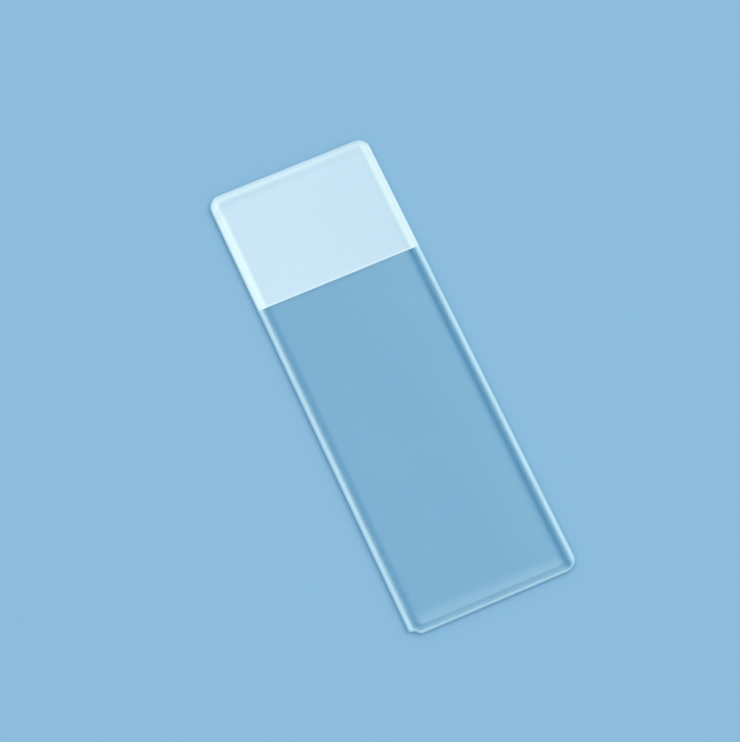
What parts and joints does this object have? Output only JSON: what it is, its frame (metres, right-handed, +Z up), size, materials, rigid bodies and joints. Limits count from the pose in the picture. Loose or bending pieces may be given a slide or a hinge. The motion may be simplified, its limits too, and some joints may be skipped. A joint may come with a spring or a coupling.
{
  "type": "microscope slide",
  "caption": "Flat rectangular glass microscope slide with a frosted writing area at one end, clipped corners and rounded ground edges.",
  "frame": {"origin": "centre of the flat face that the slide lies on", "axes": "+X along the slide from the frosted end to the clear end, +Y across it, +Z up out of the frosted face"},
  "size_m": [0.076, 0.026, 0.001],
  "materials": {
    "glass": "clear polished faces with a faint blue-green tint, ground white rims, and a frosted white area at one end"
  },
  "bodies": {
    "root": {"slide": "glass"}
  },
  "joints": []
}
